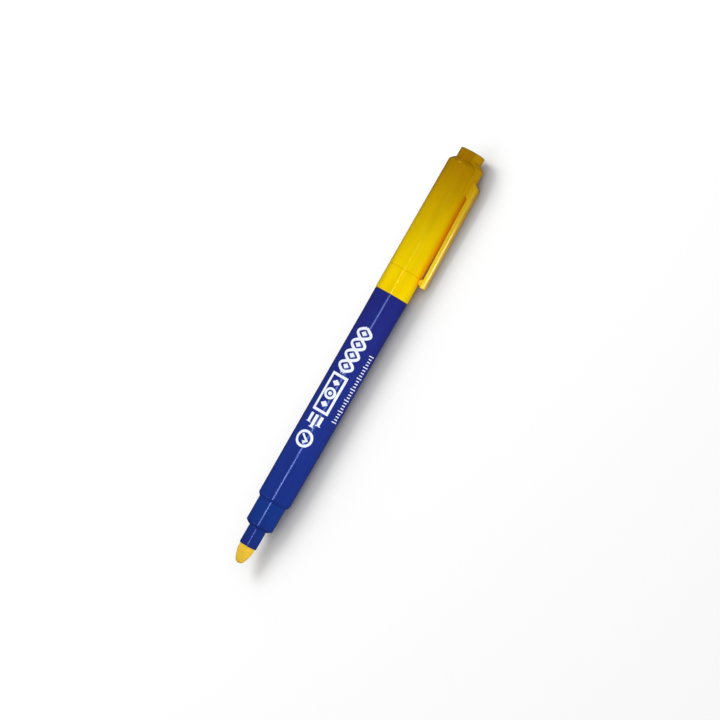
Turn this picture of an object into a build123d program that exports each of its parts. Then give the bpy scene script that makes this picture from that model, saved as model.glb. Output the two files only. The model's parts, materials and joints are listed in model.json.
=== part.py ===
from build123d import *
import os
from math import cos, radians, sin

# A counterfeit detector pen: a felt-tip pen whose iodine ink marks false banknotes.
# It lies on its side with the cap pushed onto the tail, and rests on the cap and on the clip's foot.
# Sizes are in millimetres. A station is a distance along the pen from the tip of the nib, and a
# radius is from the pen's axis.

# ---- driving dimensions: stations along the pen ----
nozzle_front = 6.0
collar_front = 12.4
barrel_front = 21.6
barrel_rear = 95.4
cap_mouth = 95.5
cap_end = 142.8
pen_length = 146.3

# ---- driving dimensions: radii ----
nib_r = 2.6
nib_shank_r = 2.35
nozzle_r = 2.9
collar_front_r = 4.58
collar_rear_r = 4.6
barrel_front_r = 5.4
print_land_r = 5.5
barrel_rear_r = 5.575
barrel_bore_r = 4.4
post_r = 4.6
cap_mouth_r = 5.67
cap_rear_r = 5.76
button_r = 4.08
insert_button_r = 4.18

# ---- fits ----
cap_clearance = 0.05
clip_gap = 0.04

# ---- how the pen lies ----
clip_below_level = 28.7
axis_y = 1.13
axis_z = cap_rear_r

# ---- planes ----
clip_dir = Vector(0, -cos(radians(clip_below_level)), -sin(radians(clip_below_level)))
pen_dir = Vector(1, 0, 0)
nib_point = Vector(-pen_length / 2, axis_y, axis_z)
pen_axis = Axis(nib_point, pen_dir)
# across the pen, with X towards the clip
section = Plane(origin=nib_point, x_dir=clip_dir, z_dir=pen_dir)
# through the axis and the clip: X is the radius, Y is the station
profile = Plane(origin=nib_point, x_dir=clip_dir, z_dir=clip_dir.cross(pen_dir))
# looking down on the clip: X is the station, Y runs across the clip
clip_plan = Plane(origin=nib_point, x_dir=pen_dir, z_dir=clip_dir)


# ---- nib: a ground fibre bullet with a thinner shank that feeds from the reservoir ----
nib_nose = 1.4
nib_nose_r = 1.7
nib_flank = 3.8
nib_flank_r = 2.46
nib_shoulder = 5.6
nib_seat = nozzle_front + 0.6
nib_rear = 34.0
nib_taper = 3.0
nib_rear_r = 0.9

with BuildPart() as bullet_nib:
    with BuildSketch(profile):
        with BuildLine():
            Spline(
                (0, 0),
                (nib_nose_r, nib_nose),
                (nib_flank_r, nib_flank),
                (nib_r, nib_shoulder),
                tangents=[(1, 0), (0, 1)],
            )
            Polyline(
                (nib_r, nib_shoulder),
                (nib_r, nib_seat),
                (nib_shank_r, nib_seat),
                (nib_shank_r, nib_rear - nib_taper),
                (nib_rear_r, nib_rear),
                (0, nib_rear),
                (0, 0),
            )
        make_face()
    revolve(axis=pen_axis)

# ---- nib holder: nozzle, collar that the cap closes on, and the skirt pressed into the barrel ----
holder_edge = 0.2
collar_flat_r = 3.35
collar_chamfer = 0.9
skirt_rear = 28.0
skirt_lead = 0.3
shank_bore_rear = 20.0
holder_cavity_r = 3.6
vent_count = 3
vent_width = 0.6

with BuildPart() as nib_holder:
    with BuildSketch(profile) as holder_profile:
        Polygon(
            (nib_r, nozzle_front),
            (nozzle_r, nozzle_front),
            (nozzle_r, collar_front),
            (collar_flat_r, collar_front),
            (collar_front_r, collar_front + collar_chamfer),
            (collar_rear_r, barrel_front),
            (barrel_bore_r, barrel_front),
            (barrel_bore_r, skirt_rear - skirt_lead),
            (barrel_bore_r - skirt_lead, skirt_rear),
            (holder_cavity_r, skirt_rear),
            (holder_cavity_r, shank_bore_rear),
            (nib_shank_r, shank_bore_rear),
            (nib_shank_r, nib_seat),
            (nib_r, nib_seat),
            align=None,
        )
        shown = holder_profile.vertices().filter_by(lambda v: v.X > nib_r and v.Y < barrel_front)
        fillet(shown, holder_edge)
    revolve(axis=pen_axis)
    # air grooves along the shank bore
    with BuildSketch(section.offset(nib_seat)):
        with PolarLocations(nib_shank_r, vent_count):
            Rectangle(nib_r - nib_shank_r, vent_width)
    extrude(amount=shank_bore_rear - nib_seat, mode=Mode.SUBTRACT)

# ---- barrel: a drafted tube, with ribs inside that hold the reservoir off the wall ----
front_face_r = 4.75
front_chamfer = 0.85
front_edge = 0.22
land_front = 38.0
land_rear = 86.0
rim_chamfer = 0.15
rib_count = 6
rib_width = 0.6
rib_front = 30.0
rib_rear = 84.0
film_r = 4.0
rib_clearance = 0.03

with BuildPart() as barrel:
    with BuildSketch(profile) as barrel_profile:
        Polygon(
            (barrel_bore_r, barrel_front),
            (front_face_r, barrel_front),
            (barrel_front_r, barrel_front + front_chamfer),
            (print_land_r, land_front),
            (print_land_r, land_rear),
            (barrel_rear_r, barrel_rear - rim_chamfer),
            (barrel_rear_r - rim_chamfer, barrel_rear),
            (barrel_bore_r, barrel_rear),
            align=None,
        )
        front = barrel_profile.vertices().filter_by(lambda v: v.X > barrel_bore_r and v.Y < land_front)
        fillet(front, front_edge)
    revolve(axis=pen_axis)
    with BuildSketch(section.offset(rib_front)):
        rib_root = barrel_bore_r + rib_clearance
        rib_top = film_r + rib_clearance
        with PolarLocations((rib_root + rib_top) / 2, rib_count):
            Rectangle(rib_root - rib_top, rib_width)
    extrude(amount=rib_rear - rib_front)

# ---- ink reservoir: a rod of bonded fibre, pierced by the nib's shank, in a thin film ----
reservoir_front = 28.3
reservoir_rear = 85.7
fibre_r = 3.9

with BuildPart() as ink_reservoir:
    with BuildSketch(profile):
        Polygon(
            (nib_shank_r, reservoir_front),
            (fibre_r, reservoir_front),
            (fibre_r, reservoir_rear),
            (0, reservoir_rear),
            (0, nib_rear),
            (nib_rear_r, nib_rear),
            (nib_shank_r, nib_rear - nib_taper),
            align=None,
        )
    revolve(axis=pen_axis)

with BuildPart() as reservoir_film:
    with BuildSketch(section.offset(reservoir_front)):
        Circle(film_r)
        Circle(fibre_r, mode=Mode.SUBTRACT)
    extrude(amount=reservoir_rear - reservoir_front)

# ---- tail plug: a cup pressed into the barrel, whose post carries the cap ----
plug_front = 86.0
post_end = 107.5
post_round = 0.8
plug_wall = 1.2
plug_floor = 1.6

with BuildPart() as tail_plug:
    with BuildSketch(profile):
        Polygon(
            (barrel_bore_r - skirt_lead, plug_front),
            (barrel_bore_r, plug_front + skirt_lead),
            (barrel_bore_r, barrel_rear),
            (post_r, barrel_rear),
            (post_r, post_end),
            (0, post_end),
            (0, post_end - plug_floor),
            (barrel_bore_r - plug_wall, post_end - plug_floor),
            (barrel_bore_r - plug_wall, plug_front),
            align=None,
        )
    revolve(axis=pen_axis)
    fillet(tail_plug.edges().filter_by(GeomType.CIRCLE).sort_by(Axis.X)[-1], post_round)

# ---- cap: a tube with a shoulder and a hollow end button, a fine ring line, and a slot for the
# clip's strap that runs on up the button as a flat seat ----
cap_bore_r = post_r + cap_clearance
mouth_chamfer = 0.3
mouth_edge = 0.12
ring_line = 104.1
ring_depth = 0.14
ring_half_width = 0.18
liner_seat = 108.3
end_wall_front = 140.3
button_floor = 144.8
button_hollow_r = 1.5
button_edge = 0.3
shoulder_start = 141.0
shoulder_mid = 142.2
shoulder_mid_r = 5.05
shoulder_edge_r = 4.3
shoulder_slope = 0.35
strap_front = 133.0
strap_half_width = 3.56
button_seat = 2.1
peg_station = 143.4
peg_r = 0.7
peg_tip = 0.9


def cap_radius(station):
    """The drafted outside of the cap at a station."""
    share = (station - cap_mouth) / (cap_end - cap_mouth)
    return cap_mouth_r + share * (cap_rear_r - cap_mouth_r)


with BuildPart() as cap_body:
    with BuildSketch(profile) as cap_profile:
        with BuildLine():
            shoulder_top = (cap_radius(shoulder_start), shoulder_start)
            Polyline(
                (cap_bore_r + mouth_chamfer, cap_mouth),
                (cap_mouth_r - mouth_edge, cap_mouth),
                (cap_radius(cap_mouth + mouth_edge), cap_mouth + mouth_edge),
                (cap_radius(ring_line), ring_line - ring_half_width),
                (cap_radius(ring_line) - ring_depth, ring_line),
                (cap_radius(ring_line), ring_line + ring_half_width),
                shoulder_top,
            )
            Spline(
                shoulder_top,
                (shoulder_mid_r, shoulder_mid),
                (shoulder_edge_r, cap_end),
                tangents=[(0, 1), (-1, shoulder_slope)],
            )
            Polyline(
                (shoulder_edge_r, cap_end),
                (button_r, cap_end),
                (button_r, pen_length),
                (0, pen_length),
                (0, button_floor),
                (button_hollow_r, button_floor),
                (button_hollow_r, end_wall_front),
                (barrel_bore_r, end_wall_front),
                (barrel_bore_r, liner_seat),
                (cap_bore_r, liner_seat),
                (cap_bore_r, cap_mouth + mouth_chamfer),
                (cap_bore_r + mouth_chamfer, cap_mouth),
            )
        make_face()
        fillet(cap_profile.vertices().group_by(Axis.Y)[-1].sort_by(Axis.X)[-1], button_edge)
    revolve(axis=pen_axis)
    with BuildSketch(section.offset(strap_front)):
        Rectangle(2 * cap_rear_r, 2 * strap_half_width, align=(Align.MIN, Align.CENTER))
        Circle(barrel_bore_r, mode=Mode.SUBTRACT)
    extrude(amount=cap_end - strap_front, mode=Mode.SUBTRACT)
    with BuildSketch(section.offset(cap_end)):
        with Locations((button_seat, 0)):
            Rectangle(2 * cap_rear_r, 2 * strap_half_width, align=(Align.MIN, Align.CENTER))
    extrude(amount=pen_length - cap_end, mode=Mode.SUBTRACT)
    with BuildSketch(clip_plan):
        with Locations((peg_station, 0)):
            Circle(peg_r)
    extrude(amount=button_seat, mode=Mode.SUBTRACT)

# ---- inner seal cup: the liner that grips the nozzle when the pen is capped ----
liner_front = 108.4
liner_rear = 121.0
liner_floor = 1.0
lip_r = 2.93
lip_length = 1.0
lip_chamfer = 0.6
chamber_r = 3.1

with BuildPart() as inner_seal_cup:
    with BuildSketch(profile):
        Polygon(
            (lip_r + lip_chamfer, liner_front),
            (barrel_bore_r, liner_front),
            (barrel_bore_r, liner_rear),
            (0, liner_rear),
            (0, liner_rear - liner_floor),
            (chamber_r, liner_rear - liner_floor),
            (chamber_r, liner_front + lip_chamfer + lip_length),
            (lip_r, liner_front + lip_chamfer + lip_length),
            (lip_r, liner_front + lip_chamfer),
            align=None,
        )
    revolve(axis=pen_axis)

# ---- clip insert: the strap in the cap's slot, carried over the shoulder onto the button's seat,
# with a peg that snaps into the button ----
strap_r = 5.9
strap_edge = 0.15
bevel_front = 142.2
bevel_rear = 143.9

with BuildPart() as clip_insert:
    with BuildSketch(section.offset(strap_front)):
        Rectangle(2 * strap_r, 2 * strap_half_width, align=(Align.MIN, Align.CENTER))
        Circle(barrel_bore_r, mode=Mode.SUBTRACT)
    extrude(amount=cap_end - strap_front)
    with BuildSketch(section.offset(cap_end)):
        with Locations((button_seat, 0)):
            Rectangle(2 * strap_r, 2 * strap_half_width, align=(Align.MIN, Align.CENTER))
    extrude(amount=pen_length - cap_end)
    with BuildSketch(profile) as insert_outline:
        Polygon(
            (0, strap_front),
            (strap_r - strap_edge, strap_front),
            (strap_r, strap_front + strap_edge),
            (strap_r, bevel_front),
            (insert_button_r, bevel_rear),
            (insert_button_r, pen_length),
            (0, pen_length),
            align=None,
        )
        fillet(insert_outline.vertices().group_by(Axis.Y)[-1].sort_by(Axis.X)[-1], button_edge)
    revolve(axis=pen_axis, mode=Mode.INTERSECT)
    with BuildSketch(clip_plan.offset(peg_tip)):
        with Locations((peg_station, 0)):
            Circle(peg_r)
    extrude(amount=button_seat - peg_tip)

# ---- clip arm: a tapered spring arm with a root that sits on the strap and a foot by the ring line ----
arm_root_rear = 138.3
arm_top_rear = 137.0
arm_root_r = 7.56
arm_under_root_r = 6.3
root_overlap = 1.0
foot_front = 101.7
foot_r = 8.24
foot_under_r = 7.08
root_half_width = 2.45
foot_half_width = 1.9
root_width_end = 128.0
arm_edge = 0.32
foot_round = 0.5
root_fillet = 0.4
bump_station = 103.3
bump_half_length = 1.15
bump_half_width = 1.1
bump_r = cap_radius(bump_station) + 2 * clip_gap

with BuildPart() as clip_arm:
    with BuildSketch(profile) as arm_side:
        Polygon(
            (strap_r - root_overlap, strap_front),
            (arm_under_root_r, strap_front),
            (foot_under_r, foot_front),
            (foot_r, foot_front),
            (arm_root_r, arm_top_rear),
            (strap_r, arm_root_rear),
            (strap_r - root_overlap, arm_root_rear),
            align=None,
        )
        under = arm_side.vertices().filter_by_position(Axis.X, arm_under_root_r, arm_under_root_r)
        fillet(under, root_fillet)
    extrude(amount=root_half_width, both=True)
    with BuildSketch(profile):
        with BuildLine():
            bump_arc = ThreePointArc(
                (foot_under_r, bump_station - bump_half_length),
                (bump_r, bump_station),
                (foot_under_r, bump_station + bump_half_length),
            )
            Line(bump_arc @ 1, bump_arc @ 0)
        make_face()
    extrude(amount=bump_half_width, both=True)
    with BuildSketch(section.offset(strap_front - clip_gap)):
        Circle(strap_r + clip_gap)
    extrude(amount=cap_end - strap_front, mode=Mode.SUBTRACT)
    with BuildSketch(clip_plan) as arm_plan:
        Polygon(
            (foot_front, foot_half_width),
            (root_width_end, root_half_width),
            (cap_end, root_half_width),
            (cap_end, -root_half_width),
            (root_width_end, -root_half_width),
            (foot_front, -foot_half_width),
            align=None,
        )
        fillet(arm_plan.vertices().group_by(Axis.X)[0], foot_round)
    extrude(amount=2 * foot_r, mode=Mode.INTERSECT)
    outer_face = clip_arm.faces().filter_by(GeomType.PLANE).sort_by(Axis(nib_point, clip_dir))[-1]
    fillet(outer_face.edges(), arm_edge)

nodes = {
    "bullet_nib": bullet_nib,
    "nib_holder": nib_holder,
    "barrel": barrel,
    "ink_reservoir": ink_reservoir,
    "reservoir_film": reservoir_film,
    "tail_plug": tail_plug,
    "cap_body": cap_body,
    "inner_seal_cup": inner_seal_cup,
    "clip_insert": clip_insert,
    "clip_arm": clip_arm,
}

os.makedirs("parts", exist_ok=True)
for name, node in nodes.items():
    node.part.label = name
    export_step(node.part, f"parts/{name}.step")
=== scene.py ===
import json
from bisect import bisect_left
from math import atan, cos, hypot, pi, radians, sin, sqrt, tau
from random import Random

import bpy
from mathutils import Matrix, Vector, noise

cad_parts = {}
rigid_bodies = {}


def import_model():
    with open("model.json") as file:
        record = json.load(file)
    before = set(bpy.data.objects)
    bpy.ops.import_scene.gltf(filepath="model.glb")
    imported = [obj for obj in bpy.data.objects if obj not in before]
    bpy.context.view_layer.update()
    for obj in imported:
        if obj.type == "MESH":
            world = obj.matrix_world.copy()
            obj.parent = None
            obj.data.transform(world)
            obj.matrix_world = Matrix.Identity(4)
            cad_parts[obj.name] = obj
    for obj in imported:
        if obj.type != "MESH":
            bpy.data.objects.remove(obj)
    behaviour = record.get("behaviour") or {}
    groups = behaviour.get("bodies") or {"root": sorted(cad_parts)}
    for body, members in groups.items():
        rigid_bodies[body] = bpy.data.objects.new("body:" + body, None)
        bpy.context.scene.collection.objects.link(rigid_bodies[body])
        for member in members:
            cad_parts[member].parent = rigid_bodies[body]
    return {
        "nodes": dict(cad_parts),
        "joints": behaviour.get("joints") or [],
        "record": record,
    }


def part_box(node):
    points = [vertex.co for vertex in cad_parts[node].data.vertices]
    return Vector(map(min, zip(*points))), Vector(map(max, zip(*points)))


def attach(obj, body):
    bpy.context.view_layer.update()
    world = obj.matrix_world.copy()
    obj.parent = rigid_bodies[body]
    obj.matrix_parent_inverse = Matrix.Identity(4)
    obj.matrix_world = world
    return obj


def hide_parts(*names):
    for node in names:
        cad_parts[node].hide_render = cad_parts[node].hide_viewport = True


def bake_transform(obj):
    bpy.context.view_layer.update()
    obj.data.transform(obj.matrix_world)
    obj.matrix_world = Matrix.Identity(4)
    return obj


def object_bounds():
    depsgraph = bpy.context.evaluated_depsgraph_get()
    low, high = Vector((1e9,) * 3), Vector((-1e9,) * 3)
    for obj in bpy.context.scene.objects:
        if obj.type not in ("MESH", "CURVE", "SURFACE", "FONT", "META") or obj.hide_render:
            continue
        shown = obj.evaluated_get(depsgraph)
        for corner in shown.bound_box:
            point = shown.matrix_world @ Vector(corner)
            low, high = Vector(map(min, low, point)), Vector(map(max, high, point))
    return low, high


# A counterfeit detector pen with its cap on its tail.
# A station is a distance along the pen from the tip of the nib. Stations, radii and other lengths
# about the pen are in millimetres, and Blender's own lengths are in metres.

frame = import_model()
cad_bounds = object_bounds()
nodes = frame["nodes"]
mm = 0.001

# ---- the pen's own frame: along the pen, towards the clip, and across both ----
pen_low, pen_high = cad_bounds
barrel_low, barrel_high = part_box("barrel")
axis_y = (barrel_low.y + barrel_high.y) / 2
axis_z = (barrel_low.z + barrel_high.z) / 2
clip_hinge = next(j for j in frame["joints"] if j["name"] == "clip_flex")
pen_dir = Vector((1, 0, 0))
side_dir = Vector(clip_hinge["axis"]).normalized()
clip_dir = pen_dir.cross(side_dir)
nib_point = Vector((pen_low.x, axis_y, axis_z))
pen_middle = Vector(((pen_low.x + pen_high.x) / 2, axis_y, axis_z))


def place(station, radial, across=0.0):
    """The point at a station, so far from the axis towards the clip, and so far across that."""
    return nib_point + (pen_dir * station + clip_dir * radial + side_dir * across) * mm


def wrap(station, angle, radius):
    """The point at a station and radius, turned from the clip's direction towards the camera's side."""
    return place(station, radius * cos(angle), radius * sin(angle))


def station_of(point):
    return (Vector(point) - nib_point).dot(pen_dir) / mm


barrel_front = station_of(barrel_low)
cap_mouth = station_of(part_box("cap_body")[0])
cap_end = station_of(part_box("cap_body")[1])
strap_front = station_of(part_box("clip_insert")[0])
foot_front = station_of(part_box("clip_arm")[0])
arm_rear = station_of(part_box("clip_arm")[1])
grip = next(m for m in frame["record"]["mounts"] if m["name"] == "barrel_grip")
print_land_r = grip["dims"]["r_mm"]

# ---- camera ----
camera_elevation = radians(43.6)
pen_slope = radians(60.13)
camera_distance = 0.7
view_width = 223.12 * mm
aim_right = 1.35 * mm
aim_down = 0.66 * mm

to_camera = Vector((0, -cos(camera_elevation), sin(camera_elevation)))
across_view = to_camera.cross(pen_dir)
picture_right = pen_dir * cos(pen_slope) - across_view * sin(pen_slope)
picture_up = pen_dir * sin(pen_slope) + across_view * cos(pen_slope)
camera_at = pen_middle + picture_right * aim_right - picture_up * aim_down + to_camera * camera_distance

camera = bpy.data.objects.new("camera", bpy.data.cameras.new("camera"))
bpy.context.scene.collection.objects.link(camera)
camera.data.sensor_width = 36
camera.data.lens = camera.data.sensor_width * camera_distance / view_width
camera.matrix_world = (
    Matrix.Translation(camera_at) @ Matrix((picture_right, picture_up, to_camera)).transposed().to_4x4()
)
bpy.context.scene.camera = camera


# ---- building materials ----
wall_angle = radians(14)


class Shader:
    """One material. A socket is given a number, a colour, or another node's output."""

    def __init__(self, name):
        self.material = bpy.data.materials.new(name)
        self.material.use_nodes = True
        self.tree = self.material.node_tree
        self.surface = self.tree.nodes["Principled BSDF"]

    def node(self, kind, inputs, **settings):
        made = self.tree.nodes.new("ShaderNode" + kind)
        for setting, value in settings.items():
            setattr(made, setting, value)
        self.fill(made, inputs)
        return made

    def fill(self, node, inputs):
        for socket, value in inputs.items():
            if isinstance(value, bpy.types.NodeSocket):
                self.tree.links.new(value, node.inputs[socket])
            else:
                node.inputs[socket].default_value = value

    def math(self, operation, first, second=0.0, clamp=False):
        return self.node("Math", {0: first, 1: second}, operation=operation, use_clamp=clamp).outputs[0]

    def vector(self, operation, first, second=(0, 0, 0)):
        made = self.node("VectorMath", {0: first, 1: second}, operation=operation)
        return made.outputs["Value" if operation in ("DOT_PRODUCT", "LENGTH") else "Vector"]

    def noise(self, point, stretch, detail=2.0, rough=0.5):
        """Noise from 0 to 1, with so many waves to a millimetre along X, Y and Z."""
        scaled = self.vector("MULTIPLY", point, stretch)
        inputs = {"Vector": scaled, "Scale": 1, "Detail": detail, "Roughness": rough}
        return self.node("TexNoise", inputs).outputs[0]

    def between(self, value, low, high, to_low=0.0, to_high=1.0):
        """A smooth rise from to_low to to_high as the value goes from low to high."""
        inputs = {"Value": value, "From Min": low, "From Max": high, "To Min": to_low, "To Max": to_high}
        return self.node("MapRange", inputs, interpolation_type="SMOOTHSTEP").outputs[0]

    def mix(self, share, first, second):
        colours = {0: share, 6: self.opaque(first), 7: self.opaque(second)}
        return self.node("Mix", colours, data_type="RGBA").outputs[2]

    def opaque(self, colour):
        return colour if isinstance(colour, bpy.types.NodeSocket) else (*colour, 1)

    def pen_point(self):
        """Where a point is on the pen, in millimetres from the nib's point, with the piece at rest."""
        metres = self.vector("SUBTRACT", self.node("TexCoord", {}).outputs["Object"], nib_point)
        return self.vector("MULTIPLY", metres, (1 / mm, 1 / mm, 1 / mm))

    def bump(self, height, depth, normal):
        """Relief of so many millimetres on top of a normal."""
        inputs = {"Height": height, "Distance": depth * mm, "Strength": 1, "Normal": normal}
        return self.node("Bump", inputs).outputs["Normal"]

    def mesh_normal(self):
        return self.node("NewGeometry", {}).outputs["Normal"]

    def turned_normal(self, point):
        """The exact normal of a turned surface: the mesh's own slope along the pen, and true round about it.
        Where the mesh faces away from that by more than wall_angle, as in a slot, its own normal stays."""
        own = self.node("TexCoord", {}).outputs["Normal"]
        outward = self.vector("NORMALIZE", self.vector("MULTIPLY", point, (0, 1, 1)))
        along = self.vector("MULTIPLY", own, (1, 0, 0))
        along_squared = self.vector("DOT_PRODUCT", along, along)
        share = self.math("SQRT", self.math("SUBTRACT", 1, along_squared, clamp=True))
        facing = self.math("SIGN", self.vector("DOT_PRODUCT", own, outward))
        scaling = {0: outward, "Scale": self.math("MULTIPLY", share, facing)}
        round_part = self.node("VectorMath", scaling, operation="SCALE").outputs["Vector"]
        turned = self.vector("ADD", along, round_part)
        alike = self.math("GREATER_THAN", self.vector("DOT_PRODUCT", own, turned), cos(wall_angle))
        chosen = self.node("Mix", {0: alike, 4: own, 5: turned}, data_type="VECTOR").outputs[1]
        return self.node("VectorTransform", {"Vector": chosen}, vector_type="NORMAL", convert_from="OBJECT",
                         convert_to="WORLD").outputs["Vector"]


def hairlines(shader, point, turn, amount):
    """Fine scratches that run one way, in patches."""
    turned = shader.node("VectorRotate", {"Vector": point, "Angle": turn}, rotation_type="Z_AXIS").outputs[0]
    lines = shader.between(shader.noise(turned, (0.12, 7, 7), 1), 0.66, 0.71)
    patches = shader.between(shader.noise(turned, (0.07, 0.2, 0.2), 1), 0.5, 0.62)
    return shader.math("MULTIPLY", shader.math("MULTIPLY", lines, patches), amount)


# roughness of moulded plastic, and what the marks on its skin add
skin_rough = 0.1
grain_rough = 0.05
smudge_rough = 0.05
scratch_rough = 0.2
# relief in millimetres
waviness = 0.006
grain_depth = 0.0012
scratch_depth = 0.002
plastic_ior = 1.49


def moulded_plastic(name, front, rear, fleck, shine, turned=True, bleed=0.0, crevice_shade=None):
    """Glossy moulded plastic whose tone runs from one (station, colour) to another: pigment and flow marks
    in the colour, a fine skin on the gloss, hairline scratches, and the slight waviness of a moulding.
    On the yellow pieces that run of tone is painted shade, darker towards the cap's end where less light
    falls.
    A crevice shade is painted shade: where pieces lie close together, the colour is mixed towards a deep
    orange."""
    shader = Shader(name)
    point = shader.pen_point()
    station = shader.node("SeparateXYZ", {0: point}).outputs[0]
    ground = shader.mix(shader.between(station, front[0], rear[0]), front[1], rear[1])
    flow = shader.noise(point, (0.05, 0.3, 0.3), 3)
    flowed = shader.mix(shader.between(flow, 0.35, 0.7), ground, shader.mix(0.12, ground, (0, 0, 0)))
    pigment = shader.noise(point, (5, 5, 5), 2)
    colour = shader.mix(shader.between(pigment, 0.62, 0.8, 0, 0.12), flowed, fleck)
    # Painted shade: where other surfaces lie within the reach, the colour is mixed towards the deep orange
    # crevice shade.
    if crevice_shade:
        open_share = shader.node("AmbientOcclusion", {"Distance": crevice_shade_reach * mm}, samples=8).outputs["AO"]
        colour = shader.mix(open_share, crevice_shade, colour)

    scratches = shader.math("ADD", hairlines(shader, point, 0.35, 1.0), hairlines(shader, point, -0.9, 0.6))
    grain = shader.noise(point, (9, 9, 9), 2)
    smudges = shader.between(shader.noise(point, (0.12, 0.3, 0.3), 3), 0.45, 0.7)
    gloss = shader.math("ADD", skin_rough, shader.math("MULTIPLY", grain, grain_rough))
    gloss = shader.math("ADD", gloss, shader.math("MULTIPLY", smudges, smudge_rough))
    gloss = shader.math("ADD", gloss, shader.math("MULTIPLY", scratches, scratch_rough), clamp=True)

    normal = shader.turned_normal(point) if turned else shader.mesh_normal()
    normal = shader.bump(shader.noise(point, (0.16, 0.5, 0.5), 1), waviness, normal)
    normal = shader.bump(grain, grain_depth, normal)
    normal = shader.bump(scratches, -scratch_depth, normal)
    shader.fill(shader.surface, {
        "Base Color": colour,
        "Roughness": gloss,
        "Normal": normal,
        "IOR": plastic_ior,
        "Specular Tint": (*shine, 1),
        "Subsurface Weight": bleed,
        "Subsurface Radius": (1.0, 0.4, 0.05),
        "Subsurface Scale": 1.2 * mm,
    })
    return shader.material


def felt(name, bright, deep, soak, thread):
    """Bonded fibres that lie along the pen, soaked with ink in uneven patches, with pores between them."""
    shader = Shader(name)
    point = shader.pen_point()
    fibres = shader.noise(point, (1.1, 9, 9), 4, 0.6)
    patches = shader.noise(point, (0.5, 0.8, 0.8), 3)
    pores = shader.between(shader.noise(point, (3, 6, 6), 2), 0.6, 0.72)
    wet = shader.mix(shader.between(patches, 0.35, 0.7, 0, soak), bright, deep)
    threads = shader.mix(shader.between(fibres, 0.3, 0.75, 0, 0.35), wet, thread)
    # Painted shade: the pores are darkened towards a deep brown, as well as sunk by the bump.
    colour = shader.mix(shader.math("MULTIPLY", pores, 0.45), threads, shader.mix(0.6, wet, (0.1, 0.04, 0)))
    normal = shader.bump(fibres, 0.03, shader.mesh_normal())
    normal = shader.bump(pores, -0.02, normal)
    shader.fill(shader.surface, {
        "Base Color": colour,
        "Roughness": shader.between(fibres, 0.2, 0.8, 0.75, 0.95),
        "Normal": normal,
        "Specular IOR Level": 0.2,
        "Sheen Weight": 0.15,
        "Sheen Roughness": 0.5,
        "Subsurface Weight": 0.15,
        "Subsurface Radius": (1.0, 0.5, 0.1),
        "Subsurface Scale": 0.8 * mm,
    })
    return shader.material


def pad_print(name):
    """White pad-printing ink: thin spots where the blue shows, and a soft dry surface."""
    shader = Shader(name)
    point = shader.pen_point()
    thin = shader.between(shader.noise(point, (1.3, 1.3, 1.3), 4, 0.65), 0.55, 0.8, 0, 0.35)
    pinholes = shader.between(shader.noise(point, (7, 7, 7), 1), 0.72, 0.8, 0, 0.5)
    cover = shader.math("MAXIMUM", thin, pinholes)
    dry = shader.noise(point, (12, 12, 12), 2)
    shader.fill(shader.surface, {
        "Base Color": shader.mix(cover, (0.76, 0.8, 0.9), (0.12, 0.17, 0.45)),
        "Roughness": shader.between(dry, 0.2, 0.8, 0.42, 0.6),
        "Normal": shader.bump(dry, 0.002, shader.mesh_normal()),
    })
    return shader.material


def milky_liner(name):
    """Unpigmented polyethylene: waxy, a little translucent, with faint flow lines."""
    shader = Shader(name)
    point = shader.pen_point()
    flow = shader.noise(point, (0.1, 1.2, 1.2), 3)
    grain = shader.noise(point, (6, 6, 6), 2)
    shader.fill(shader.surface, {
        "Base Color": shader.mix(shader.between(flow, 0.3, 0.7), (0.78, 0.78, 0.72), (0.68, 0.69, 0.64)),
        "Roughness": shader.between(grain, 0.2, 0.8, 0.32, 0.5),
        "Normal": shader.bump(grain, 0.003, shader.turned_normal(point)),
        "Subsurface Weight": 0.4,
        "Subsurface Radius": (1.0, 0.9, 0.7),
        "Subsurface Scale": 1.5 * mm,
    })
    return shader.material


def clear_film(name):
    """The thin wrap of the reservoir: clear, with wrinkles along it."""
    shader = Shader(name)
    point = shader.pen_point()
    wrinkles = shader.noise(point, (0.4, 2.5, 2.5), 3)
    shader.fill(shader.surface, {
        "Base Color": shader.mix(shader.between(wrinkles, 0.4, 0.7), (0.95, 0.93, 0.85), (0.85, 0.8, 0.65)),
        "Roughness": shader.between(wrinkles, 0.3, 0.7, 0.08, 0.22),
        "Normal": shader.bump(wrinkles, 0.02, shader.turned_normal(point)),
        "IOR": plastic_ior,
        "Transmission Weight": 0.85,
    })
    return shader.material


# ---- the materials ----
blue_fleck, blue_shine = (0.03, 0.09, 0.42), (0.32, 0.45, 1.0)
yellow_fleck, yellow_shine = (0.95, 0.78, 0.02), (0.9, 0.9, 0.2)
yellow_bleed = 0.25
# Painted shade: the deep orange that the yellow pieces' colour is mixed towards in crevices, and how far the
# crevice test reaches in millimetres.
painted_crevice_shade = (0.66, 0.23, 0.0005)
crevice_shade_reach = 4.0
# The yellow pieces' colour darkens from this station to the cap's end: painted shade, for light that falls
# off towards that end.
painted_shade_start = 112
barrel_plastic = moulded_plastic(
    "barrel_plastic", (barrel_front, (0.0114, 0.0308, 0.220)), (cap_mouth, (0.0174, 0.0223, 0.202)),
    blue_fleck, blue_shine,
)
holder_plastic = moulded_plastic(
    "holder_plastic", (0, (0.0136, 0.028, 0.215)), (barrel_front, (0.0093, 0.0365, 0.227)),
    blue_fleck, blue_shine,
)
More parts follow.
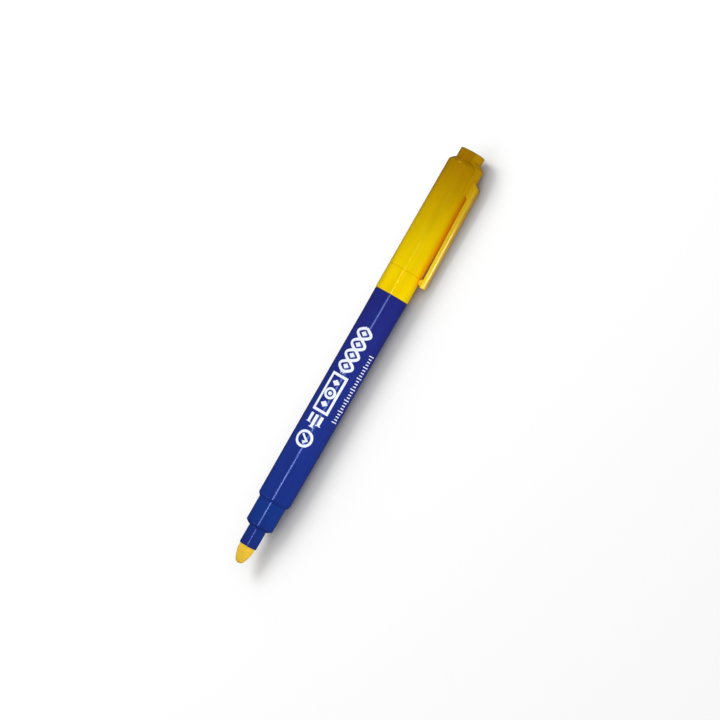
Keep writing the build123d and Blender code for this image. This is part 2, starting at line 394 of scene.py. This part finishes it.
# The cap, insert and clip darken towards the cap's end (painted shade) and take the painted crevice shade
# where they lie close together.
cap_plastic = moulded_plastic(
    "cap_plastic", (painted_shade_start, (0.93, 0.655, 0.0005)), (cap_end, (0.74, 0.37, 0.0004)),
    yellow_fleck, yellow_shine, bleed=yellow_bleed, crevice_shade=painted_crevice_shade,
)
insert_plastic = moulded_plastic(
    "insert_plastic", (painted_shade_start, (0.93, 0.655, 0.0005)), (cap_end, (0.86, 0.46, 0.001)),
    yellow_fleck, yellow_shine, bleed=yellow_bleed, crevice_shade=painted_crevice_shade,
)
clip_plastic = moulded_plastic(
    "clip_plastic", (cap_mouth, (0.98, 0.78, 0.03)), (cap_end, (0.93, 0.58, 0.004)),
    yellow_fleck, (1, 1, 0.85), turned=False, bleed=yellow_bleed, crevice_shade=painted_crevice_shade,
)
looks = {
    "barrel": barrel_plastic,
    "nib_holder": holder_plastic,
    "tail_plug": barrel_plastic,
    "cap_body": cap_plastic,
    "clip_insert": insert_plastic,
    "clip_arm": clip_plastic,
    "bullet_nib": felt("nib_felt", (0.9, 0.57, 0.034), (0.78, 0.44, 0.017), 0.5, (0.95, 0.72, 0.1)),
    "ink_reservoir": felt("reservoir_felt", (0.86, 0.74, 0.5), (0.7, 0.42, 0.06), 0.8, (0.95, 0.9, 0.75)),
    "reservoir_film": clear_film("film"),
    "inner_seal_cup": milky_liner("liner_plastic"),
}
for node_name, material in looks.items():
    nodes[node_name].data.materials.clear()
    nodes[node_name].data.materials.append(material)


# ---- building pieces ----
def make_piece(name, vertices, faces, material, sharp_degrees):
    """A mesh object with smooth faces and crisp edges."""
    mesh = bpy.data.meshes.new(name)
    mesh.from_pydata(vertices, [], faces)
    mesh.polygons.foreach_set("use_smooth", [True] * len(mesh.polygons))
    mesh.set_sharp_from_angle(angle=radians(sharp_degrees))
    mesh.materials.append(material)
    mesh.update()
    piece = bpy.data.objects.new(name, mesh)
    bpy.context.scene.collection.objects.link(piece)
    return piece


def loft(rings, closed=False):
    """Faces over rings of vertices that lie one after another, all of one length, with both ends capped."""
    count, size = len(rings), len(rings[0])
    vertices = [point for ring in rings for point in ring]
    faces = []
    for i in range(count if closed else count - 1):
        a, b = i * size, (i + 1) % count * size
        faces += [(a + k, a + (k + 1) % size, b + (k + 1) % size, b + k) for k in range(size)]
    if not closed:
        faces += [tuple(reversed(range(size))), tuple(range((count - 1) * size, count * size))]
    return vertices, faces


# ---- the clip's arm: one springy piece from the strap to the foot ----
arm_top_rear = 137.0
arm_root_top = 7.56
foot_top = 8.24
root_under = 6.3
foot_under = 7.08
root_sunk = 5.25
root_half = 2.45
foot_half = 1.9
taper_end = 128.0
foot_round = 0.55
top_round = 0.36
under_round = 0.12
inner_fillet = 0.9
rear_slope = 1.277
top_blend = 0.5
bump_station = 103.3
bump_length = 1.15
bump_half = 1.1
bump_drop = 1.28
bump_fullness = 0.6
bump_flank = 0.12
arc_steps = 5


def step_share(value, start, end):
    return min(max((value - start) / (end - start), 0), 1)


def arc_drop(distance, radius):
    """How far a rounded edge has fallen, this far short of where it ends."""
    inside = max(radius - distance, 0)
    return radius - sqrt(radius * radius - inside * inside)


def soft_min(a, b, reach):
    """The smaller of two, rounded off where they are closer than reach."""
    h = max(reach - abs(a - b), 0) / reach
    return min(a, b) - h * h * reach / 4


def arm_top(station):
    share = (station - foot_front) / (arm_top_rear - foot_front)
    along = foot_top + share * (arm_root_top - foot_top)
    slanted = arm_root_top - (station - arm_top_rear) * rear_slope
    return soft_min(along, slanted, top_blend) - arc_drop(station - foot_front, top_round)


def arm_under(station):
    if station >= strap_front:
        return root_sunk
    share = (station - foot_front) / (strap_front - foot_front)
    level = foot_under + share * (root_under - foot_under)
    return level - arc_drop(strap_front - station, inner_fillet) + arc_drop(station - foot_front, under_round)


def arm_half_width(station):
    share = step_share(station, foot_front, taper_end)
    return foot_half + share * (root_half - foot_half) - arc_drop(station - foot_front, foot_round)


def bump_height(station):
    return bump_drop * max(1 - ((station - bump_station) / bump_length) ** 2, 0) ** bump_fullness


def arm_ring(station):
    """The arm's outline at a station: flat underneath with the bump in its middle, and rounded edges."""
    top, under, half = arm_top(station), arm_under(station), arm_half_width(station)
    bump = bump_height(station) if station < strap_front else 0
    rounding = min(top_round, (top - under) / 3)
    corners = [
        (under + under_round, half - under_round, under_round, -pi / 2),
        (top - rounding, half - rounding, rounding, 0),
        (top - rounding, rounding - half, rounding, pi / 2),
        (under + under_round, under_round - half, under_round, pi),
    ]
    outline = []
    for radial, across, radius, start in corners:
        for k in range(arc_steps + 1):
            a = start + k / arc_steps * pi / 2
            outline.append((radial + radius * sin(a), across + radius * cos(a)))
    outline += [(under, -bump_half - bump_flank), (under - bump, -bump_half), (under - bump, 0)]
    outline += [(under - bump, bump_half), (under, bump_half + bump_flank)]
    return [place(station, radial, across) for radial, across in outline]


def spread(start, end, count):
    return [start + (end - start) * i / count for i in range(count)]


arm_stations = (
    [foot_front + foot_round * share for share in (0, 0.02, 0.07, 0.15, 0.27, 0.42, 0.6, 0.8)]
    + spread(foot_front + foot_round, bump_station + bump_length, 18)
    + spread(bump_station + bump_length, strap_front - inner_fillet, 40)
    + [strap_front - inner_fillet * (1 - share) for share in (0, 0.3, 0.5, 0.68, 0.82, 0.92, 0.98)]
    + spread(strap_front, arm_top_rear - 0.6, 6)
    + spread(arm_top_rear - 0.6, arm_rear, 14)
    + [arm_rear]
)
clip_spring = make_piece("clip_spring", *loft([arm_ring(s) for s in arm_stations]), clip_plastic, 38)
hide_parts("clip_arm")
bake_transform(clip_spring)


# ---- the nib: a ground bullet of bonded fibre, with loose fibre ends on it ----
def turned_profile(node):
    """The outline of a turned solid: its (station, radius) points, front to rear."""
    widest = {}
    for vertex in nodes[node].data.vertices:
        station = round(station_of(vertex.co), 2)
        radius = hypot(vertex.co.y - axis_y, vertex.co.z - axis_z) / mm
        widest[station] = max(radius, widest.get(station, 0))
    return sorted(widest.items())


def radius_at(profile, station):
    i = min(max(bisect_left(profile, (station,)), 1), len(profile) - 1)
    (s0, r0), (s1, r1) = profile[i - 1], profile[i]
    return r0 + (r1 - r0) * step_share(station, s0, s1)


nib_profile = turned_profile("bullet_nib")
nib_shown = station_of(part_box("nib_holder")[0])
nib_rear = nib_profile[-1][0]
nib_sides = 96
fibre_relief = 0.035
nib_overlap = 0.6
fibre_ends = 150
fibre_thick = 0.011
fibre_arch = 0.03
smallest_turn_r = 0.4


def nib_vertex(station, k):
    """A point of the nib's skin: grooves along the fibres, and a slight unevenness from grinding."""
    angle = tau * k / nib_sides
    radius = radius_at(nib_profile, station)
    if station < nib_shown:
        x, y = radius * cos(angle), radius * sin(angle)
        grooves = noise.noise((x * 3.2, y * 3.2, station * 0.7))
        pits = noise.noise((x * 6 + 9, y * 6, station * 5))
        fade = step_share(station, 0, 0.4) * step_share(nib_shown - station, 0, 0.3)
        radius += fade * fibre_relief * (grooves + 0.6 * pits - 0.6)
    return wrap(station, angle, radius)


nib_stations = [0.02 * 1.35**i for i in range(9)]
nib_stations += spread(0.24, nib_shown, 44) + [nib_shown + nib_overlap]
nib_stations += [s for s, r in nib_profile if s > nib_shown + nib_overlap]
nib_vertices, nib_faces = loft([[nib_vertex(s, k) for k in range(nib_sides)] for s in nib_stations])

chance = Random(7)
for _ in range(fibre_ends):
    angle = chance.uniform(0, tau)
    start = nib_shown * chance.random() ** 1.4 * 0.93 + 0.15
    length = chance.uniform(0.25, 0.7) * chance.choice((-1, 1))
    drift = chance.uniform(-0.25, 0.25)
    rise = chance.uniform(0.01, 0.07)
    hair = []
    for k in range(5):
        share = k / 4
        station = min(max(start + length * share, 0.05), nib_shown - 0.02)
        skin_r = radius_at(nib_profile, station)
        centre_r = skin_r - fibre_arch + rise * share + fibre_arch * sin(pi * share)
        turn_r = max(centre_r, smallest_turn_r)
        thick = fibre_thick * (1 - 0.6 * share)
        turn = angle + drift * share / turn_r
        ring = [(thick * cos(tau * j / 3), thick * sin(tau * j / 3)) for j in range(3)]
        hair.append([wrap(station, turn + across / turn_r, centre_r + up) for across, up in ring])
    hair_vertices, hair_faces = loft(hair)
    nib_faces += [tuple(i + len(nib_vertices) for i in face) for face in hair_faces]
    nib_vertices += hair_vertices
felt_nib = make_piece("felt_nib", nib_vertices, nib_faces, looks["bullet_nib"], 60)
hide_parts("bullet_nib")
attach(felt_nib, "pen")

# ---- the print: a generic mark and a row of ticks in white ink, wrapped on the barrel ----
mark_angle = radians(87)
ticks_angle = radians(22.5)
ink_sunk = 0.03
ink_proud = 0.02
second_layer = 0.004
outline_half = 0.42
print_vertices = []
print_faces = []


def ink(path, half_width, angle, closed=False, extra=0.0):
    """A band of ink along a path of (station, arc) points, on the barrel about an angle."""
    rings = []
    for i, (u, v) in enumerate(path):
        before = path[i - 1] if i or closed else (u, v)
        after = path[(i + 1) % len(path)] if i + 1 < len(path) or closed else (u, v)
        first = Vector((u - before[0], v - before[1]))
        second = Vector((after[0] - u, after[1] - v))
        first, second = (first or second).normalized(), (second or first).normalized()
        mitre = (first + second).normalized()
        reach = half_width / max(mitre.dot(first), 0.5)
        du, dv = -mitre.y * reach, mitre.x * reach
        low, high = print_land_r - ink_sunk, print_land_r + ink_proud + extra
        edge = [(-1, low), (-1, high), (0, high), (1, high), (1, low)]
        rings.append([wrap(u + k * du, angle + (v + k * dv) / print_land_r, r) for k, r in edge])
    vertices, faces = loft(rings, closed)
    print_faces.extend(tuple(i + len(print_vertices) for i in face) for face in faces)
    print_vertices.extend(vertices)


def dense(corners, step=0.3, closed=False):
    """Points along straight runs between corners."""
    points = []
    for i in range(len(corners) if closed else len(corners) - 1):
        a, b = Vector(corners[i]), Vector(corners[(i + 1) % len(corners)])
        count = max(round((b - a).length / step), 1)
        points += [tuple(a.lerp(b, k / count)) for k in range(count)]
    return points if closed else points + [corners[-1]]


def circle(u, v, radius, count=28):
    return [(u + radius * cos(tau * k / count), v + radius * sin(tau * k / count)) for k in range(count)]


def lozenge(u, v, half_long, half_tall, angle):
    """A filled lozenge, as narrow bars side by side that grow and shrink again."""
    bars = 15
    bar_half = 1.1 * half_long / bars
    for k in range(bars):
        offset = (2 * k + 1) / bars - 1
        tall = half_tall * (1 - abs(offset))
        here = u + offset * half_long
        ink(dense([(here, v - tall), (here, v + tall)]), bar_half, angle)


# a tick in a ring
ring_at = 43.8
tick_path = [(ring_at - 1.25, 0.0), (ring_at - 0.35, -1.05), (ring_at + 1.25, 1.1)]
ink(circle(ring_at, 0, 2.4), outline_half, mark_angle, closed=True)
ink(dense(tick_path, step=0.7), 0.32, mark_angle, extra=second_layer)
# bars
bars_rear = 52.2
for row, length in ((1.75, 3.2), (0, 4.4), (-1.75, 3.2)):
    ink(dense([(bars_rear - length, row), (bars_rear, row)]), 0.5, mark_angle)
# a banknote
note_front, note_rear, note_half = 53.6, 66.0, 2.4
note_middle = (note_front + note_rear) / 2
note_corners = [
    (note_front, -note_half),
    (note_rear, -note_half),
    (note_rear, note_half),
    (note_front, note_half),
]
ink(dense(note_corners, closed=True), outline_half, mark_angle, closed=True)
ink(circle(note_middle, 0, 1.5), 0.38, mark_angle, closed=True)
ink(circle(note_middle, 0, 0.32, 12), 0.3, mark_angle, closed=True)
for offset in (-3.7, 3.7):
    lozenge(note_middle + offset, 0, 1.0, 1.2, mark_angle)
# two waves that cross, with lozenges in their eyes
wave_start, wave_end, wave_length, wave_height = 67.6, 82.8, 7.6, 2.3
wave_stations = spread(wave_start, wave_end, 90) + [wave_end]
for phase, extra in ((0, 0), (pi, second_layer)):
    wave = [(u, wave_height * sin(tau * (u - wave_start) / wave_length + phase)) for u in wave_stations]
    ink(wave, 0.45, mark_angle, extra=extra)
for k in range(4):
    lozenge(wave_start + wave_length * (k + 0.5) / 2, 0, 0.85, 0.95, mark_angle)
# the row of ticks, with every fourth one taller
tick_front, tick_pitch, tick_count = 52.5, 0.97, 25
for k in range(tick_count):
    here = tick_front + tick_pitch * k
    tall = 1.15 if k % 4 == 0 else 0.7
    ink(dense([(here, -tall), (here, tall)]), 0.15, ticks_angle)

barrel_print = make_piece("barrel_print", print_vertices, print_faces, pad_print("white_ink"), 40)
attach(barrel_print, "pen")

# ---- floor ----
floor_reach = 8.0
floor_grey = 0.2
floor_corners = [(x * floor_reach, y * floor_reach, 0) for x, y in ((-1, -1), (1, -1), (1, 1), (-1, 1))]
matt_grey = Shader("floor")
matt_grey.fill(matt_grey.surface, {
    "Base Color": (floor_grey, floor_grey, floor_grey, 1),
    "Roughness": 1,
    "Specular IOR Level": 0,
})
floor = make_piece("floor", floor_corners, [(0, 1, 2, 3)], matt_grey.material, 30)
floor.visible_glossy = False
floor.visible_diffuse = False

# ---- lights ----
pen_pieces = bpy.data.collections.new("pen_pieces")
for piece in [*nodes.values(), clip_spring, felt_nib, barrel_print]:
    pen_pieces.objects.link(piece)
clip_only = bpy.data.collections.new("clip_only")
clip_only.objects.link(clip_spring)
all_but_clip = bpy.data.collections.new("all_but_clip")
for piece in pen_pieces.objects:
    if piece not in (clip_spring, nodes["clip_arm"]):
        all_but_clip.objects.link(piece)
floor_only = bpy.data.collections.new("floor_only")
floor_only.objects.link(floor)


def around(elevation, distance, along=0.0):
    """A point about the pen's middle, so many degrees up from the level on the camera's side, over the top
    and down to the back."""
    a = radians(elevation)
    return pen_middle + Vector((along, -cos(a) * distance, sin(a) * distance))


def hang(name, kind, at, target, watts, receivers):
    """A light that faces a point and lights only one collection."""
    bulb = bpy.data.lights.new(name, kind)
    bulb.energy = watts
    holder = bpy.data.objects.new(name, bulb)
    bpy.context.scene.collection.objects.link(holder)
    back = (at - target).normalized()
    along = (pen_dir - back * pen_dir.dot(back)).normalized()
    turn = Matrix((along, back.cross(along), back)).transposed().to_4x4()
    holder.matrix_world = Matrix.Translation(at) @ turn
    holder.light_linking.receiver_collection = receivers
    return holder


def soft_box(name, at, size, watts, receivers):
    """An area light that faces the pen's middle, so long along the pen and so wide across it."""
    holder = hang(name, "AREA", at, pen_middle, watts, receivers)
    holder.data.shape = "RECTANGLE"
    holder.data.size, holder.data.size_y = size
    return holder


lamp_distance = 0.6
lamp_station = 55
lamp_reach = 103
lamp_watts = 13
lamp_radius = 0.04


def lamp(name, elevation, blockers):
    """A soft spot on the pen, brightest at lamp_station, that fades out lamp_reach millimetres from it."""
    target = place(lamp_station, 0)
    at = around(elevation, lamp_distance) + pen_dir * (target - pen_middle).dot(pen_dir)
    holder = hang(name, "SPOT", at, target, lamp_watts, pen_pieces)
    holder.data.spot_size = 2 * atan(lamp_reach * mm / lamp_distance)
    holder.data.spot_blend = 1
    holder.data.shadow_soft_size = lamp_radius
    holder.light_linking.blocker_collection = blockers
    holder.visible_glossy = False


streak = soft_box("streak", around(53.3, 0.7, -0.055), (0.21, 0.07), 0.85, pen_pieces)
streak.visible_diffuse = False
for end in (-1, 1):
    sheen = soft_box("end_sheen", pen_middle + Vector((0.58 * end, 0.05, 0.62)), (0.3, 0.22), 1.3, pen_pieces)
    sheen.visible_diffuse = False
glint = soft_box("glint", place(112, 0) + Vector((0.012, -0.06, -0.3)), (0.05, 0.12), 0.3, clip_only)
glint.visible_diffuse = False
glint.light_linking.blocker_collection = clip_only
lamp("lamp_back", 75, pen_pieces)
lamp("lamp_front", -35, all_but_clip)
dome = soft_box("dome", pen_middle + Vector((0, 0, 1.2)), (16, 16), 2720, floor_only)
key = soft_box("key", around(127, 0.8, 0.2), (0.5, 0.5), 15.2, floor_only)
for light in (dome, key):
    light.visible_glossy = False

ambient = 0.3
reflected = 0.04
world = bpy.data.worlds.new("world")
bpy.context.scene.world = world
world.use_nodes = True
sky = world.node_tree
ray = sky.nodes.new("ShaderNodeLightPath")
glossy_share = sky.nodes.new("ShaderNodeMapRange")
glossy_share.inputs["To Min"].default_value = ambient
glossy_share.inputs["To Max"].default_value = reflected
sky.links.new(ray.outputs["Is Glossy Ray"], glossy_share.inputs["Value"])
strength = sky.nodes.new("ShaderNodeMath")
strength.operation = "MAXIMUM"
sky.links.new(glossy_share.outputs[0], strength.inputs[0])
sky.links.new(ray.outputs["Is Camera Ray"], strength.inputs[1])
sky.links.new(strength.outputs[0], sky.nodes["Background"].inputs["Strength"])
sky.nodes["Background"].inputs["Color"].default_value = (1, 1, 1, 1)
bpy.context.scene.view_settings.view_transform = "Standard"
